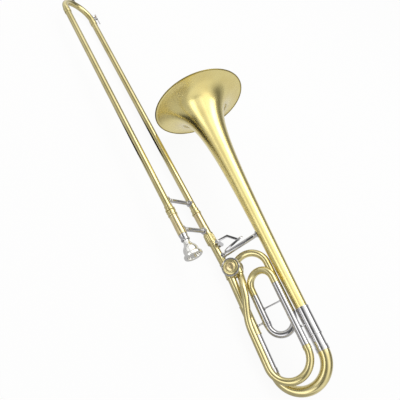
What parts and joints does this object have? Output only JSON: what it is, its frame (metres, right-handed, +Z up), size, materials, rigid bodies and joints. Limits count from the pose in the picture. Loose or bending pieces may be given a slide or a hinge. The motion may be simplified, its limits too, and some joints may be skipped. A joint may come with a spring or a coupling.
{
  "type": "tenor trombone with valve attachment",
  "caption": "Tenor trombone with a flared bell, a hand slide, a rotary valve worked by a thumb lever, looped valve tubing, tuning slides and a mouthpiece.",
  "frame": {"origin": "centre of the bounding box at the floor, with the instrument lying on its bell rim, its hand slide's front ferrule and its tuning slide's ferrule", "axes": "+X to the rear along the instrument, from the slide bow to the tuning bow; +Y towards the bell's side; +Z up"},
  "size_m": [1.1478, 0.2938, 0.2162],
  "materials": {
    "lacquered_brass": "polished, lacquered",
    "nickel_silver": "polished",
    "rose_brass": "polished, lacquered",
    "silver_plate": "mirror polished",
    "cork": "matte",
    "rubber": "matte"
  },
  "bodies": {
    "bell_section": {"bell": "lacquered_brass", "bell_brace": "nickel_silver", "bell_brace_flange_bell": "nickel_silver", "bell_brace_flange_neck": "nickel_silver", "bell_sleeve": "nickel_silver", "bell_socket": "lacquered_brass", "cork_barrel_bell_side": "rose_brass", "cork_barrel_mouthpiece_side": "rose_brass", "crossover_tube": "lacquered_brass", "inner_brace": "nickel_silver", "inner_brace_flange_bell_side": "nickel_silver", "inner_brace_flange_mouthpiece_side": "nickel_silver", "inner_tube_bell_side": "silver_plate", "inner_tube_mouthpiece_side": "silver_plate", "lever_barrel": "nickel_silver", "long_leg": "nickel_silver", "loop_cross_brace": "nickel_silver", "loop_sleeve_left": "nickel_silver", "loop_sleeve_right": "nickel_silver", "main_tube": "lacquered_brass", "mouthpiece_receiver": "nickel_silver", "neckpipe": "lacquered_brass", "rear_bow": "lacquered_brass", "slide_tenon": "nickel_silver", "small_arch": "lacquered_brass", "stay_bell_side": "nickel_silver", "stay_neck_side": "nickel_silver", "valve_arch": "lacquered_brass", "valve_back_plate": "nickel_silver", "valve_cap": "lacquered_brass", "valve_casing": "lacquered_brass", "valve_front_ring": "nickel_silver"},
    "hand_slide": {"outer_tube_bell_side": "lacquered_brass", "outer_tube_mouthpiece_side": "lacquered_brass", "slide_bow": "lacquered_brass", "bow_ferrule_bell_side": "nickel_silver", "bow_ferrule_mouthpiece_side": "nickel_silver", "end_ring_bell_side": "lacquered_brass", "end_ring_mouthpiece_side": "lacquered_brass", "outer_brace": "nickel_silver", "outer_brace_flange_bell_side": "nickel_silver", "outer_brace_flange_mouthpiece_side": "nickel_silver", "slide_bumper": "rubber"},
    "water_key": {"water_key": "nickel_silver", "water_key_pad": "cork"},
    "lock_ring": {"slide_lock_ring": "lacquered_brass"},
    "lock_nut": {"bell_lock_nut": "lacquered_brass"},
    "mouthpiece": {"mouthpiece": "silver_plate"},
    "tuning_slide": {"tuning_leg_neck_side": "nickel_silver", "tuning_leg_bell_side": "nickel_silver", "tuning_ferrule_neck_side": "nickel_silver", "tuning_ferrule_bell_side": "nickel_silver", "tuning_bow": "lacquered_brass"},
    "loop_slide": {"loop_tuning_bow": "nickel_silver"},
    "thumb_lever": {"lever_shaft": "nickel_silver", "thumb_lever": "nickel_silver"},
    "rotor": {"rotor": "rose_brass", "stop_arm": "nickel_silver"},
    "link_rod": {"link_rod": "nickel_silver"}
  },
  "joints": [
    {"name": "hand_slide_travel", "type": "slide", "parent": "bell_section", "child": "hand_slide", "axis": [-0.9999, 0, -0.0111], "range_m": [0, 0.6]},
    {"name": "water_key_turn", "type": "hinge", "parent": "hand_slide", "child": "water_key", "pos_m": [-0.51868, -0.03631, 0.01273], "axis": [0.0106, 0.2881, -0.9575], "range_deg": [0, 15], "stiffness_Nm_per_rad": 0.06, "springref_deg": -20.05},
    {"name": "lock_ring_turn", "type": "hinge", "parent": "bell_section", "child": "lock_ring", "pos_m": [0.15027, -0.12741, 0.05323], "axis": [0.9999, 0, 0.0111], "range_deg": [0, 45]},
    {"name": "lock_nut_turn", "type": "hinge", "parent": "bell_section", "child": "lock_nut", "pos_m": [0.20282, -0.04857, 0.01705], "axis": [0.9999, 0, 0.0111], "range_deg": [0, 270]},
    {"name": "mouthpiece_pull", "type": "slide", "parent": "bell_section", "child": "mouthpiece", "axis": [0.9999, 0, 0.0111], "range_m": [0, 0.03]},
    {"name": "tuning_slide_travel", "type": "slide", "parent": "bell_section", "child": "tuning_slide", "axis": [0.9979, -0.0492, -0.0415], "range_m": [0, 0.042]},
    {"name": "loop_slide_travel", "type": "slide", "parent": "bell_section", "child": "loop_slide", "axis": [0.9979, -0.0492, -0.0415], "range_m": [0, 0.039]},
    {"name": "thumb_lever_turn", "type": "hinge", "parent": "bell_section", "child": "thumb_lever", "pos_m": [0.23272, -0.03996, 0.02658], "axis": [0.0076, 0.7304, -0.683], "range_deg": [0, 28], "stiffness_Nm_per_rad": 0.25, "springref_deg": -34.38},
    {"name": "rotor_turn", "type": "hinge", "parent": "bell_section", "child": "rotor", "pos_m": [0.29353, -0.04068, 0.02649], "axis": [0.0076, 0.7304, -0.683], "range_deg": [0, 90]},
    {"name": "link_rod_turn", "type": "hinge", "parent": "rotor", "child": "link_rod", "pos_m": [0.29692, -0.04333, 0.02369], "axis": [0.0076, 0.7304, -0.683], "range_deg": [-90, 0]}
  ],
  "couplings": [
    {"joint": "rotor_turn", "follows": "thumb_lever_turn", "ratio": 3.2142},
    {"joint": "link_rod_turn", "follows": "thumb_lever_turn", "ratio": -3.2142}
  ]
}
